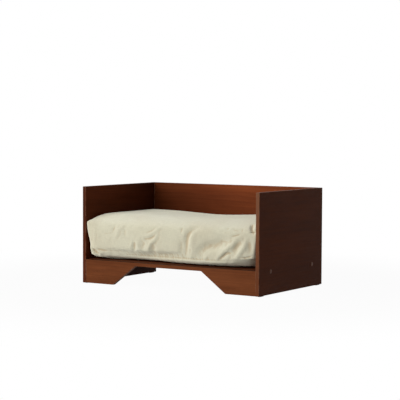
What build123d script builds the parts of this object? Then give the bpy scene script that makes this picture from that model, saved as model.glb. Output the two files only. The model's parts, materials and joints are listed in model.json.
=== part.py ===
from build123d import *
import os
from math import atan2, cos, sin

# A wooden sofa bed for a dog: two side panels, a back panel, an arched front rail and a seat board,
# bolted, cam locked and dowelled together, with one thick loose cushion in a zipped cover.
# Millimetres. The origin is on the floor, under the middle of the sofa. +X is to the right of
# someone who stands in front of it, +Y is to the rear, and +Z is up.

# Overall size and boards
overall_width = 800.0
overall_depth = 490.0
overall_height = 380.0
board = 15.0
edge_radius = 1.5

# Seat, rail and back
seat_height = 95.0
rail_setback = 2.0
rail_band = 15.0
arch_foot = 130.0
arch_run = 106.0
arch_corner = 6.0
back_lift = 40.0

# Felt pads under the side panels
pad_height = 2.0
pad_width = 10.0
pad_length = 30.0
pad_corner = 3.0
pad_inset = 12.0

# Bolts through the side panels into the seat board, with barrel nuts
seat_bolt_inset = 84.0
seat_bolt_diameter = 6.0
seat_bolt_length = 50.0
seat_bolt_hole = 6.6
seat_bolt_tip = 0.8
bolt_head_diameter = 15.0
bolt_head_height = 2.0
bolt_head_rim = 0.9
bolt_socket = 4.0
bolt_socket_depth = 1.4
nut_diameter = 10.0
nut_cover = 2.5
nut_inset = 30.0
nut_slot_width = 1.4
nut_slot_depth = 1.6

# Screws through the back panel into the seat board
back_screw_inset = 145.0
back_screw_count = 3
screw_diameter = 4.5
screw_head_diameter = 9.0
screw_length = 45.0
screw_point = 5.0
screw_sink_angle = 90.0
cross_width = 1.5
cross_length = 5.0
cross_depth = 1.8

# Cam locks: a housing in the board's face, and a bolt from the side panel into the board's end
cam_diameter = 15.0
cam_floor = 2.5
cam_reach = 34.0
cam_chamber_diameter = 11.2
cam_bolt_collar = 7.8
cam_bolt_hole = 8.0
cam_bolt_neck = 5.0
cam_bolt_head = 7.0
cam_head_front = 4.2
cam_head_back = 1.8
cam_thread_diameter = 7.0
cam_thread_floor = 4.0
cam_slack = 0.3
back_cam_margin = 50.0
rail_cam_height = 55.0

# Dowels
dowel_diameter = 8.0
dowel_length = 30.0
dowel_pitch = 32.0
thin_dowel_diameter = 6.0
thin_dowel_length = 30.0
thin_dowel_inset = 70.0
thin_dowel_count = 4
dowel_floor = 5.0
dowel_chamfer = 0.8

# Fits
fit = 0.05
end_slack = 0.5
soft_gap = 0.3
overrun = 2.0

# Cushion
cushion_height = 177.0
cushion_side_gap = 3.0
cushion_front_gap = 1.0
cushion_rear_gap = 10.0
cushion_corner = 24.0
front_bow = 5.0
side_bow = 1.5
front_roll = 130.0
side_roll = 20.0
front_draw = 40.0
side_draw = 36.0
cover_wall = 1.8
core_gap = 0.3

# Shares of cushion_height, front_draw and side_draw: how the lower half draws in
draw_shares = (
    (0.0, 1.0, 1.0),
    (0.025, 0.68, 0.70),
    (0.07, 0.36, 0.47),
    (0.15, 0.16, 0.30),
    (0.30, 0.05, 0.12),
    (0.50, 0.0, 0.0),
)
# Shares of cushion_height, front_roll and side_roll: how the upper half rolls over to the crown
crown_shares = (
    (0.70, 0.0, 0.01),
    (0.79, 0.02, 0.04),
    (0.84, 0.11, 0.07),
    (0.885, 0.27, 0.11),
    (0.93, 0.46, 0.18),
    (0.965, 0.66, 0.32),
    (0.99, 0.84, 0.58),
    (0.997, 0.92, 0.78),
    (1.0, 1.0, 1.0),
)

# Zip, on a flat band low on the cushion's rear face, at one of the rings that draw in
rings_below_zip_count = 3
zip_shave = 1.0
zip_opening = 22.0
zip_margin = 82.0
zip_chain_width = 5.0
zip_chain_height = 1.6
zip_chain_edge = 0.6
zip_stop_length = 3.0
zip_stop_height = 2.2
zip_gap = 0.1

# Zip slider and its pull
slider_length = 12.0
slider_width = 10.0
slider_height = 3.4
slider_corner = 2.0
slider_clearance = 0.15
slider_flange_gap = 0.3
bridge_width = 2.4
bridge_post = 2.0
pivot_lift = 2.4
pivot_diameter = 1.6
pull_length = 14.5
pull_width = 6.5
pull_thickness = 1.5
pull_eye_diameter = 3.6
pull_eye_width = 2.4
pull_eye_gap = 0.2
pull_neck_length = 6.0
pull_corner = 2.0
pull_hole_diameter = 2.4

# Places that follow from the sizes above
half_width = overall_width / 2
half_depth = overall_depth / 2
inner_half = half_width - board
front_y = -half_depth
rear_y = half_depth
back_front = rear_y - board
back_middle = rear_y - board / 2
rail_front = front_y + rail_setback
rail_rear = rail_front + board
rail_middle = rail_front + board / 2
panel_bottom = pad_height
seat_bottom = seat_height - board
seat_middle = seat_height - board / 2
bolt_places = (front_y + seat_bolt_inset, rear_y - seat_bolt_inset)
cam_height = board - cam_floor
cam_thread_length = board - cam_thread_floor
nut_length = board - 2 * nut_cover
dowel_in_panel = board - dowel_floor
back_cam_places = (back_lift + back_cam_margin, overall_height - back_cam_margin)
back_dowel_places = (back_cam_places[0] + dowel_pitch, back_cam_places[1] - dowel_pitch)
rail_dowel_height = rail_cam_height - dowel_pitch
sides = (-1, 1)


def spread(end, count):
    """Places from -end to end, evenly apart."""
    return [end * (2 * number / (count - 1) - 1) for number in range(count)]


back_screw_places = spread(inner_half - back_screw_inset, back_screw_count)
thin_dowel_places = spread(inner_half - thin_dowel_inset, thin_dowel_count)


def facing(points, direction):
    """Planes at the points, each looking along direction."""
    return [Plane(origin=point, z_dir=direction) for point in points]


def drill(points, direction, diameter, depth):
    """Blind holes into a board, from points on the face that looks along direction."""
    with Locations(*facing(points, direction)):
        Hole(radius=diameter / 2, depth=depth)


# Side panels: the left one is drilled, and the right one mirrors it

with BuildPart() as left_side_panel:
    with BuildSketch(Plane.YZ.offset(-half_width)):
        with Locations((0, (panel_bottom + overall_height) / 2)):
            Rectangle(overall_depth, overall_height - panel_bottom)
    extrude(amount=board)
    fillet(left_side_panel.edges(), radius=edge_radius)
    drill([(-inner_half, y, seat_middle) for y in bolt_places], (1, 0, 0), seat_bolt_hole, board + overrun)
    cam_bolt_points = [(-inner_half, back_middle, z) for z in back_cam_places]
    cam_bolt_points.append((-inner_half, rail_middle, rail_cam_height))
    drill(cam_bolt_points, (1, 0, 0), cam_thread_diameter + 2 * fit, cam_thread_length + end_slack)
    dowel_points = [(-inner_half, back_middle, z) for z in back_dowel_places]
    dowel_points.append((-inner_half, rail_middle, rail_dowel_height))
    dowel_points.append((-inner_half, 0, seat_middle))
    drill(dowel_points, (1, 0, 0), dowel_diameter + 2 * fit, dowel_in_panel + end_slack)

with BuildPart() as right_side_panel:
    mirror(left_side_panel.part, about=Plane.YZ)


def drill_for_locks(cam_points, dowel_points, face_y):
    """The cam lock and dowel holes in a board that butts against both side panels."""
    for x, y, z in cam_points:
        cam_centre = (x - cam_reach if x > 0 else x + cam_reach, face_y, z)
        drill([cam_centre], (0, 1, 0), cam_diameter + 2 * fit, cam_height + end_slack)
        drill([(x, y, z)], (x, 0, 0), cam_bolt_hole, cam_reach)
    for x, y, z in dowel_points:
        drill([(x, y, z)], (x, 0, 0), dowel_diameter + 2 * fit, dowel_length - dowel_in_panel + end_slack)


# Back panel, between the side panels

back_cam_points = [(side * inner_half, back_middle, z) for side in sides for z in back_cam_places]
back_dowel_points = [(side * inner_half, back_middle, z) for side in sides for z in back_dowel_places]

with BuildPart() as back_panel:
    with BuildSketch(Plane.XZ.offset(-rear_y)):
        with Locations((0, (back_lift + overall_height) / 2)):
            Rectangle(2 * inner_half, overall_height - back_lift)
    extrude(amount=board)
    fillet(back_panel.edges().filter_by(Axis.X), radius=edge_radius)
    drill_for_locks(back_cam_points, back_dowel_points, rear_y)
    with Locations(*facing([(x, rear_y, seat_middle) for x in back_screw_places], (0, 1, 0))):
        CounterSinkHole(
            radius=screw_diameter / 2 + fit,
            counter_sink_radius=screw_head_diameter / 2 + fit,
            depth=board + overrun,
            counter_sink_angle=screw_sink_angle,
        )

# Front rail with its arch

arch_outer = inner_half - arch_foot
arch_inner = arch_outer - arch_run
arch_top = seat_height - rail_band
rail_cam_points = [(side * inner_half, rail_middle, rail_cam_height) for side in sides]
rail_dowel_points = [(side * inner_half, rail_middle, rail_dowel_height) for side in sides]
thin_dowel_points = [(x, rail_rear, seat_middle) for x in thin_dowel_places]

with BuildPart() as front_rail:
    with BuildSketch(Plane.XZ.offset(-rail_rear)) as rail_face:
        with BuildLine():
            Polyline(
                (-inner_half, panel_bottom),
                (-inner_half, seat_height),
                (inner_half, seat_height),
                (inner_half, panel_bottom),
                (arch_outer, panel_bottom),
                (arch_inner, arch_top),
                (-arch_inner, arch_top),
                (-arch_outer, panel_bottom),
                close=True,
            )
        make_face()
        fillet(rail_face.vertices().group_by(Axis.Y)[1], radius=arch_corner)
    extrude(amount=board)
    front_edges = front_rail.faces().sort_by(Axis.Y)[0].edges()
    fillet(front_edges.filter_by(Axis.Z, reverse=True), radius=edge_radius)
    drill_for_locks(rail_cam_points, rail_dowel_points, rail_rear)
    drill(thin_dowel_points, (0, 1, 0), thin_dowel_diameter + 2 * fit, dowel_in_panel + end_slack)

# Seat board, between the side panels, the rail and the back panel

nut_points = [(side * (inner_half - nut_inset), y, seat_bottom) for side in sides for y in bolt_places]

with BuildPart() as seat_board:
    with BuildSketch(Plane.XY.offset(seat_bottom)):
        with Locations((0, (rail_rear + back_front) / 2)):
            Rectangle(2 * inner_half, back_front - rail_rear)
    extrude(amount=board)
    for side in sides:
        end_points = [(side * inner_half, y, seat_middle) for y in bolt_places]
        drill(end_points, (side, 0, 0), seat_bolt_hole, nut_inset + nut_diameter)
        side_dowel_depth = dowel_length - dowel_in_panel + end_slack
        drill([(side * inner_half, 0, seat_middle)], (side, 0, 0), dowel_diameter + 2 * fit, side_dowel_depth)
    drill(nut_points, (0, 0, -1), nut_diameter + 2 * fit, (board + nut_length) / 2 + fit)
    thin_depth = thin_dowel_length - dowel_in_panel + end_slack
    drill(thin_dowel_points, (0, -1, 0), thin_dowel_diameter + 2 * fit, thin_depth)
    screw_depth = screw_length - board + end_slack
    screw_starts = [(x, back_front, seat_middle) for x in back_screw_places]
    drill(screw_starts, (0, 1, 0), screw_diameter + 2 * fit, screw_depth)

# Seat bolt: local Z points out of the head, whose underside is at zero

with BuildPart() as seat_bolt:
    bolt_radius = seat_bolt_diameter / 2
    head_radius = bolt_head_diameter / 2
    with BuildSketch(Plane.XZ):
        with BuildLine():
            Polyline(
                (0, bolt_head_height),
                (0, -seat_bolt_length),
                (bolt_radius - seat_bolt_tip, -seat_bolt_length),
                (bolt_radius, seat_bolt_tip - seat_bolt_length),
                (bolt_radius, 0),
                (head_radius, 0),
                (head_radius, bolt_head_rim),
            )
            TangentArc((0, bolt_head_height), (head_radius, bolt_head_rim), tangent=(1, 0))
        make_face()
    revolve(axis=Axis.Z)
    with BuildSketch(Plane.XY.offset(bolt_head_height)):
        RegularPolygon(radius=bolt_socket / 2, side_count=6, major_radius=False)
    extrude(amount=-bolt_socket_depth, mode=Mode.SUBTRACT)

with BuildPart() as seat_bolts:
    for side in sides:
        bolt_points = [(side * half_width, y, seat_middle) for y in bolt_places]
        with Locations(*facing(bolt_points, (side, 0, 0))):
            add(seat_bolt.part)

# Barrel nuts: upright in the seat board, slotted at the lower end

with BuildPart() as barrel_nut:
    Cylinder(radius=nut_diameter / 2, height=nut_length)
    with Locations(Plane.YZ):
        Hole(radius=seat_bolt_diameter / 2 + fit)
    with Locations((0, 0, -nut_length / 2)):
        Box(nut_diameter, nut_slot_width, 2 * nut_slot_depth, mode=Mode.SUBTRACT)

with BuildPart() as seat_barrel_nuts:
    with Locations(*[(x, y, seat_middle) for x, y, z in nut_points]):
        add(barrel_nut.part)


# The cross for a screwdriver that is cut into the screws and the cam housings

with BuildPart() as cross_cutter:
    with BuildSketch():
        Rectangle(cross_length, cross_width)
        Rectangle(cross_width, cross_length)
    extrude(amount=-cross_depth)

# Countersunk screws that hold the back panel to the seat board

with BuildPart() as back_screw:
    screw_radius = screw_diameter / 2
    screw_head_radius = screw_head_diameter / 2
    with BuildSketch(Plane.XZ):
        with BuildLine():
            Polyline(
                (0, 0),
                (0, -screw_length),
                (screw_radius, screw_point - screw_length),
                (screw_radius, screw_radius - screw_head_radius),
                (screw_head_radius, 0),
                close=True,
            )
        make_face()
    revolve(axis=Axis.Z)
    add(cross_cutter.part, mode=Mode.SUBTRACT)

with BuildPart() as back_screws:
    with Locations(*facing([(x, rear_y, seat_middle) for x in back_screw_places], (0, 1, 0))):
        add(back_screw.part)

# Cam housing: local Z points out of the board, and the bolt comes in along local X

with BuildPart() as cam_housing:
    cam_radius = cam_diameter / 2
    slot_height = cam_bolt_neck + 2 * cam_slack
    with Locations((0, 0, -cam_height / 2)):
        Cylinder(radius=cam_radius, height=cam_height)
    with Locations((0, 0, -board / 2)):
        Cylinder(
            radius=cam_chamber_diameter / 2,
            height=cam_bolt_head + 2 * cam_slack,
            mode=Mode.SUBTRACT,
        )
        with Locations((cam_radius / 2, 0, 0)):
            Box(cam_radius + overrun, slot_height, slot_height, mode=Mode.SUBTRACT)
    with Locations(Plane(origin=(0, cam_radius, -board / 2), z_dir=(0, 1, 0))):
        Hole(radius=cam_bolt_head / 2 + cam_slack, depth=cam_radius)
    with BuildSketch(Plane.XZ):
        with Locations((cam_radius, -board / 2)):
            Rectangle(cam_radius, slot_height)
    revolve(axis=Axis.Z, revolution_arc=90, mode=Mode.SUBTRACT)
    add(cross_cutter.part, mode=Mode.SUBTRACT)

# Cam bolt: local Z points into the board's end, and zero is the joint between the boards

with BuildPart() as cam_bolt:
    thread_radius = cam_thread_diameter / 2
    collar_radius = cam_bolt_collar / 2
    neck_radius = cam_bolt_neck / 2
    cam_head_radius = cam_bolt_head / 2
    collar_end = cam_reach - cam_diameter / 2 - end_slack
    head_start = cam_reach - cam_head_front
    head_end = cam_reach - cam_head_back
    with BuildSketch(Plane.XZ):
        with BuildLine():
            Polyline(
                (0, -cam_thread_length),
                (thread_radius - seat_bolt_tip, -cam_thread_length),
                (thread_radius, seat_bolt_tip - cam_thread_length),
                (thread_radius, fit),
                (collar_radius, fit),
                (collar_radius, collar_end - (collar_radius - neck_radius)),
                (neck_radius, collar_end),
                (neck_radius, head_start),
                (cam_head_radius, head_start + (cam_head_radius - neck_radius) / 2),
                (cam_head_radius, head_end),
                (0, head_end),
                close=True,
            )
        make_face()
    revolve(axis=Axis.Z)


def lock_places(points, face_y):
    """Where the cam housings and the cam bolts of a board go, from the points at its two ends."""
    housings = []
    bolts = []
    for x, y, z in points:
        inward = -x / abs(x)
        centre = (x + inward * cam_reach, face_y, z)
        housings.append(Plane(origin=centre, x_dir=(-inward, 0, 0), z_dir=(0, 1, 0)))
        bolts.append(Plane(origin=(x, y, z), z_dir=(inward, 0, 0)))
    return housings, bolts


back_housing_places, back_bolt_places = lock_places(back_cam_points, rear_y)
rail_housing_places, rail_bolt_places = lock_places(rail_cam_points, rail_rear)

with BuildPart() as back_cam_housings:
    with Locations(*back_housing_places):
        add(cam_housing.part)

with BuildPart() as back_cam_bolts:
    with Locations(*back_bolt_places):
        add(cam_bolt.part)

with BuildPart() as rail_cam_housings:
    with Locations(*rail_housing_places):
        add(cam_housing.part)

with BuildPart() as rail_cam_bolts:
    with Locations(*rail_bolt_places):
        add(cam_bolt.part)

# Dowels: the thick ones run along X into the side panels, the thin ones along Y into the rail

with BuildPart() as dowel:
    Cylinder(radius=dowel_diameter / 2, height=dowel_length)
    chamfer(dowel.edges().filter_by(GeomType.CIRCLE), length=dowel_chamfer)

with BuildPart() as thin_dowel:
    Cylinder(radius=thin_dowel_diameter / 2, height=thin_dowel_length)
    chamfer(thin_dowel.edges().filter_by(GeomType.CIRCLE), length=dowel_chamfer)


def dowel_planes(points):
    """Planes at the middles of the dowels whose joints with a side panel are at the points."""
    shift = dowel_length / 2 - dowel_in_panel
    return [Plane(origin=(x - shift if x > 0 else x + shift, y, z), z_dir=(x, 0, 0)) for x, y, z in points]


with BuildPart() as back_dowels:
    with Locations(*dowel_planes(back_dowel_points)):
        add(dowel.part)

with BuildPart() as rail_dowels:
    with Locations(*dowel_planes(rail_dowel_points)):
        add(dowel.part)

with BuildPart() as seat_side_dowels:
    with Locations(*dowel_planes([(side * inner_half, 0, seat_middle) for side in sides])):
        add(dowel.part)

with BuildPart() as seat_rail_dowels:
    thin_shift = thin_dowel_length / 2 - dowel_in_panel
    with Locations(*facing([(x, y + thin_shift, z) for x, y, z in thin_dowel_points], (0, 1, 0))):
        add(thin_dowel.part)


# Felt pads under the ends of the side panels

def floor_pad(side, end):
    with BuildPart() as pad:
        with BuildSketch():
            pad_y = half_depth - pad_inset - pad_length / 2
            with Locations((side * (half_width - board / 2), end * pad_y)):
                RectangleRounded(pad_width, pad_length, radius=pad_corner)
        extrude(amount=pad_height)
    return pad


pad_ends = {"front": -1, "rear": 1}
pad_sides = {"left": -1, "right": 1}
floor_pads = {
    f"floor_pad_{end_name}_{side_name}": floor_pad(side, end)
    for end_name, end in pad_ends.items()
    for side_name, side in pad_sides.items()
}

# Cushion: rings stacked from the base to the crown, each with its own inset from the widest outline

cushion_base = seat_height + soft_gap
cushion_half = inner_half - cushion_side_gap
cushion_front = front_y + cushion_front_gap
cushion_rear = back_front - cushion_rear_gap
cushion_rings = [
    (height_share, front_share * front_draw, side_share * side_draw)
    for height_share, front_share, side_share in draw_shares
] + [
    (height_share, front_share * front_roll, side_share * side_roll)
    for height_share, front_share, side_share in crown_shares
]

# The zip's plane leans as the rear face does there. X runs along the zip, Y up the face, and Z out of it
zip_share, _, zip_inset = cushion_rings[rings_below_zip_count]
below_share, _, below_inset = cushion_rings[rings_below_zip_count - 1]
above_share, _, above_inset = cushion_rings[rings_below_zip_count + 1]
zip_length = 2 * (cushion_half - zip_margin)
zip_lean = atan2(below_inset - above_inset, (above_share - below_share) * cushion_height)
zip_plane = Plane(
    origin=(0, cushion_rear - zip_inset - zip_shave, cushion_base + zip_share * cushion_height),
    x_dir=(-1, 0, 0),
    z_dir=(0, cos(zip_lean), -sin(zip_lean)),
)


def cushion_form(shrink):
    """The cushion's closed form, shrunk all round by shrink."""
    base = cushion_base + shrink
    height = cushion_height - 2 * shrink
    with BuildPart() as form:
        for height_share, front_inset, side_inset in cushion_rings:
            across = cushion_half - side_inset - shrink
            corner_across = across - side_bow
            front = cushion_front + front_inset + shrink
            corner_front = front + front_bow
            rear = cushion_rear - side_inset - shrink
            with BuildSketch(Plane.XY.offset(base + height_share * height)):
                with BuildLine():
                    start = (cushion_corner - corner_across, corner_front)
                    end = (corner_across - cushion_corner, corner_front)
                    SagittaArc(start, end, -front_bow)
                    RadiusArc(end, (corner_across, corner_front + cushion_corner), -cushion_corner)
                    start = (corner_across, corner_front + cushion_corner)
                    end = (corner_across, rear - cushion_corner)
                    SagittaArc(start, end, -side_bow)
                    RadiusArc(end, (corner_across - cushion_corner, rear), -cushion_corner)
                    Line((corner_across - cushion_corner, rear), (cushion_corner - corner_across, rear))
                    start = (cushion_corner - corner_across, rear)
                    end = (-corner_across, rear - cushion_corner)
                    RadiusArc(start, end, -cushion_corner)
                    SagittaArc(end, (-corner_across, corner_front + cushion_corner), -side_bow)
                    start = (-corner_across, corner_front + cushion_corner)
                    RadiusArc(start, (cushion_corner - corner_across, corner_front), -cushion_corner)
                make_face()
        loft()
        split(bisect_by=zip_plane.offset(-shrink), keep=Keep.BOTTOM)
    return form.part


with BuildPart() as cushion_cover:
    add(cushion_form(0))
    add(cushion_form(cover_wall), mode=Mode.SUBTRACT)
    with BuildSketch(zip_plane):
        Rectangle(zip_length + 2 * zip_gap, zip_opening)
    extrude(amount=cover_wall + overrun, both=True, mode=Mode.SUBTRACT)

with BuildPart() as cushion_core:
    add(cushion_form(cover_wall + core_gap))

# Zip: two tapes that close the cover's opening, the chain along their inner edges, and two end stops

tape_width = zip_opening / 2 - 2 * zip_gap
chain_length = zip_length - 2 * zip_stop_length - 2 * zip_gap

with BuildPart() as zip_tapes:
    with BuildSketch(zip_plane):
        with Locations((0, zip_gap + tape_width / 2), (0, -zip_gap - tape_width / 2)):
            Rectangle(zip_length, tape_width)
    extrude(amount=-cover_wall)

with BuildPart() as zip_chain:
    with BuildSketch(zip_plane):
        Rectangle(chain_length, zip_chain_width)
    extrude(amount=zip_chain_height)
    outer_face = zip_chain.faces().sort_by(Axis(zip_plane.origin, zip_plane.z_dir))[-1]
    chamfer(outer_face.edges().filter_by(Axis.X), length=zip_chain_edge)

with BuildPart() as zip_stops:
    with BuildSketch(zip_plane):
        stop_x = (zip_length - zip_stop_length) / 2
        with Locations((stop_x, 0), (-stop_x, 0)):
            Rectangle(zip_stop_length, zip_chain_width)
    extrude(amount=zip_stop_height)

# Slider: it straddles the chain from outside, and a pivot bar between two posts carries the pull

slider_place = (chain_length - slider_length) / 2 - soft_gap
slider_plane = Plane(
    origin=zip_plane.from_local_coords((slider_place, 0, 0)), x_dir=zip_plane.x_dir, z_dir=zip_plane.z_dir
)
pivot_point = slider_plane.from_local_coords((0, 0, slider_height + pivot_lift))
bridge_gap = pull_eye_width + 2 * pull_eye_gap

with BuildPart() as zip_slider:
    with BuildSketch(slider_plane.offset(slider_flange_gap)):
        RectangleRounded(slider_length, slider_width, radius=slider_corner)
    extrude(amount=slider_height - slider_flange_gap)
    with BuildSketch(slider_plane):
        Rectangle(slider_length + overrun, zip_chain_width + 2 * slider_clearance)
    extrude(amount=zip_chain_height + slider_clearance, mode=Mode.SUBTRACT)
    with BuildSketch(slider_plane.offset(slider_height)):
        post_x = (bridge_gap + bridge_post) / 2
        with Locations((post_x, 0), (-post_x, 0)):
            Rectangle(bridge_post, bridge_width)
    extrude(amount=pivot_lift + bridge_width / 2)
    with Locations(Plane(origin=pivot_point, z_dir=(1, 0, 0))):
        Cylinder(radius=pivot_diameter / 2, height=bridge_gap + bridge_post)

# Pull: it hangs straight down from the pivot bar

pull_plane = Plane(origin=pivot_point, x_dir=(-1, 0, 0), z_dir=(0, 1, 0))

with BuildPart() as zip_pull:
    with BuildSketch(pull_plane) as pull_face:
        with Locations((0, -pull_neck_length / 2)):
            Rectangle(pull_eye_width, pull_neck_length)
        with Locations((0, -(pull_neck_length + pull_length) / 2)):
            RectangleRounded(pull_width, pull_length - pull_neck_length, radius=pull_corner)
        with Locations((0, pull_corner + pull_hole_diameter / 2 - pull_length)):
            Circle(pull_hole_diameter / 2, mode=Mode.SUBTRACT)
    extrude(amount=pull_thickness / 2, both=True)
    with Locations(Plane(origin=pivot_point, z_dir=(1, 0, 0))):
        Cylinder(radius=pull_eye_diameter / 2, height=pull_eye_width)
        Hole(radius=pivot_diameter / 2 + fit)

pieces = {
    "left_side_panel": left_side_panel,
    "right_side_panel": right_side_panel,
    "back_panel": back_panel,
    "front_rail": front_rail,
    "seat_board": seat_board,
    "seat_bolts": seat_bolts,
    "seat_barrel_nuts": seat_barrel_nuts,
    "back_screws": back_screws,
    "back_cam_housings": back_cam_housings,
    "back_cam_bolts": back_cam_bolts,
    "back_dowels": back_dowels,
    "rail_cam_housings": rail_cam_housings,
    "rail_cam_bolts": rail_cam_bolts,
    "rail_dowels": rail_dowels,
    "seat_rail_dowels": seat_rail_dowels,
    "seat_side_dowels": seat_side_dowels,
    "cushion_cover": cushion_cover,
    "cushion_core": cushion_core,
    "zip_tapes": zip_tapes,
    "zip_chain": zip_chain,
    "zip_stops": zip_stops,
    "zip_slider": zip_slider,
    "zip_pull": zip_pull,
}
pieces.update(floor_pads)

os.makedirs("parts", exist_ok=True)
for name, piece in pieces.items():
    piece.part.label = name
    export_step(piece.part, f"parts/{name}.step")

travel = chain_length - slider_length - 2 * soft_gap
print(f"zip pull pivot {tuple(round(value, 3) for value in pivot_point)}, slider travel {travel:.1f}")
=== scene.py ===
import json
from math import cos, pi, radians, sin, sqrt
import bpy
import numpy as np
from mathutils import Matrix, Vector


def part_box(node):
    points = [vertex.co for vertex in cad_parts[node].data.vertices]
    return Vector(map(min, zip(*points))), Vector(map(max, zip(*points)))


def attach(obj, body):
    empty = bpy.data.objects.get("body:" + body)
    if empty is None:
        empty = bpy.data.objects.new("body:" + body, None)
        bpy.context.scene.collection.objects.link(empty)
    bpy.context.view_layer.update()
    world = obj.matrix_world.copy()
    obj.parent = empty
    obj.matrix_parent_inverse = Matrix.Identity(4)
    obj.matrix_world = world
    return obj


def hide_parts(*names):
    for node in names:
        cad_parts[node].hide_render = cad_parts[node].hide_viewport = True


# A sofa bed for a dog: stained boards, an arched front rail and one thick loose cushion in a canvas cover.
# Metres throughout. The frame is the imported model: +X to the right, +Y to the rear, +Z up.

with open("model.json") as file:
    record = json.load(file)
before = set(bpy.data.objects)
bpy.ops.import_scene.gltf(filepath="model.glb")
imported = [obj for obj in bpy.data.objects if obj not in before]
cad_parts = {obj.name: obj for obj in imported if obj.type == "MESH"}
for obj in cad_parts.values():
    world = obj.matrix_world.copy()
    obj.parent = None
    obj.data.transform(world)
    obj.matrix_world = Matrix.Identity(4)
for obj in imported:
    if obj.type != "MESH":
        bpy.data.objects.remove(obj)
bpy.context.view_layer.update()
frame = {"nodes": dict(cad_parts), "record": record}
nodes = frame["nodes"]
scene = bpy.context.scene
scene.view_settings.view_transform = "Standard"
slotColours = {entry["slot"]: entry["base_color"] for entry in frame["record"]["materials"]}
print("frame loaded,", len(nodes), "nodes")

# Camera, fitted to the corners of the boards
cameraSetup = {
    "place": (2.8918, -4.5477, 0.6331),
    "azimuth": 32.55,  # degrees round from the front
    "down": 3.23,
    "roll": 0.25,
    "lens": 124.14,  # millimetres, on a sensor 36 wide
    "sensor": 36.0,
}


def addObject(name, data):
    item = bpy.data.objects.new(name, data)
    scene.collection.objects.link(item)
    return item


def makeCamera(setup):
    data = bpy.data.cameras.new("camera")
    data.lens = setup["lens"]
    data.sensor_width = setup["sensor"]
    camera = addObject("camera", data)
    azimuth, down, roll = (radians(setup[key]) for key in ("azimuth", "down", "roll"))
    back = Vector((sin(azimuth) * cos(down), -cos(azimuth) * cos(down), sin(down)))
    level = Vector((cos(azimuth), sin(azimuth), 0))
    upright = back.cross(level)
    right = level * cos(roll) + upright * sin(roll)
    up = upright * cos(roll) - level * sin(roll)
    turn = Matrix((right, up, back)).transposed().to_4x4()
    camera.matrix_world = Matrix.Translation(setup["place"]) @ turn
    scene.camera = camera


makeCamera(cameraSetup)

# Shader helpers


# A node with its settings. An input that is given a socket is linked, and anything else is set
def addNode(tree, kind, inputs=None, **settings):
    node = tree.nodes.new(kind)
    for key, value in settings.items():
        setattr(node, key, value)
    for key, value in (inputs or {}).items():
        if isinstance(value, bpy.types.NodeSocket):
            tree.links.new(value, node.inputs[key])
        else:
            node.inputs[key].default_value = value
    return node


def calc(tree, operation, *values, clamp=False):
    inputs = dict(enumerate(values))
    return addNode(tree, "ShaderNodeMath", inputs, operation=operation, use_clamp=clamp).outputs[0]


def vectorCalc(tree, operation, *values):
    inputs = dict(enumerate(values))
    node = addNode(tree, "ShaderNodeVectorMath", inputs, operation=operation)
    return node.outputs[1 if operation in ("LENGTH", "DOT_PRODUCT") else 0]


def split(tree, vector):
    return addNode(tree, "ShaderNodeSeparateXYZ", {0: vector}).outputs


def join(tree, x, y, z):
    return addNode(tree, "ShaderNodeCombineXYZ", {0: x, 1: y, 2: z}).outputs[0]


# value moved from one range to another, smoothly at both ends, and held there
def smoothRange(tree, value, low, high, lowResult=0.0, highResult=1.0):
    inputs = {0: value, 1: low, 2: high, 3: lowResult, 4: highResult}
    return addNode(tree, "ShaderNodeMapRange", inputs, interpolation_type="SMOOTHSTEP").outputs[0]


def noise(tree, place, scale, detail=2.0, roughness=0.5):
    inputs = {"Vector": place, "Scale": scale, "Detail": detail, "Roughness": roughness}
    return addNode(tree, "ShaderNodeTexNoise", inputs).outputs[0]


# The same with a scale of its own along each axis
def streaks(tree, place, stretch, detail=2.0, roughness=0.5):
    return noise(tree, vectorCalc(tree, "MULTIPLY", place, stretch), 1.0, detail, roughness)


def readAttribute(tree, name):
    return addNode(tree, "ShaderNodeAttribute", attribute_name=name).outputs["Fac"]


def mixColour(tree, factor, first, second, blend="MIX"):
    inputs = {0: factor, 6: first, 7: second}
    return addNode(tree, "ShaderNodeMix", inputs, data_type="RGBA", blend_type=blend).outputs[2]


# A tone laid over a colour where the mask shows, at a share of it
def overlay(tree, colour, mask, share, tone):
    return mixColour(tree, calc(tree, "MULTIPLY", mask, share), colour, tone)


def shadeBy(tree, colour, shade):
    return mixColour(tree, 1.0, colour, join(tree, shade, shade, shade), "MULTIPLY")


def bump(tree, height, distance):
    return addNode(tree, "ShaderNodeBump", {"Height": height, "Distance": distance}).outputs[0]


# A colour times a factor, and redder by a share called warm
def tint(colour, factor, warm=0.0):
    red, green, blue = colour[:3]
    return (red * factor * (1 + warm), green * factor, blue * factor * (1 - warm), 1)


# From one tint of a colour to another, as a pattern goes through a range. A tint is its factor and its warmth
def mottle(tree, pattern, span, base, first, second):
    return mixColour(tree, smoothRange(tree, pattern, *span), tint(base, *first), tint(base, *second))


# A shader node group: its inputs are given as {label: (kind, start value)} and its outputs as {label: kind}
def newGroup(name, inputs, outputs):
    group = bpy.data.node_groups.new(name, "ShaderNodeTree")
    for label, (kind, value) in inputs.items():
        socket = group.interface.new_socket(label, in_out="INPUT", socket_type="NodeSocket" + kind)
        socket.default_value = value
    for label, kind in outputs.items():
        group.interface.new_socket(label, in_out="OUTPUT", socket_type="NodeSocket" + kind)
    source = group.nodes.new("NodeGroupInput").outputs
    target = group.nodes.new("NodeGroupOutput").inputs
    return group, source, lambda label, socket: group.links.new(socket, target[label])


def useGroup(tree, group, inputs):
    return addNode(tree, "ShaderNodeGroup", inputs, node_tree=group).outputs


# A new material with values on its shader. With it come its tree, its shader and the object's coordinates
def newMaterial(name, values):
    material = bpy.data.materials.new(name)
    material.use_nodes = True
    tree = material.node_tree
    shader = tree.nodes["Principled BSDF"]
    for label, value in values.items():
        shader.inputs[label].default_value = value
    place = addNode(tree, "ShaderNodeTexCoord").outputs["Object"]
    return material, tree, shader, place


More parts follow.
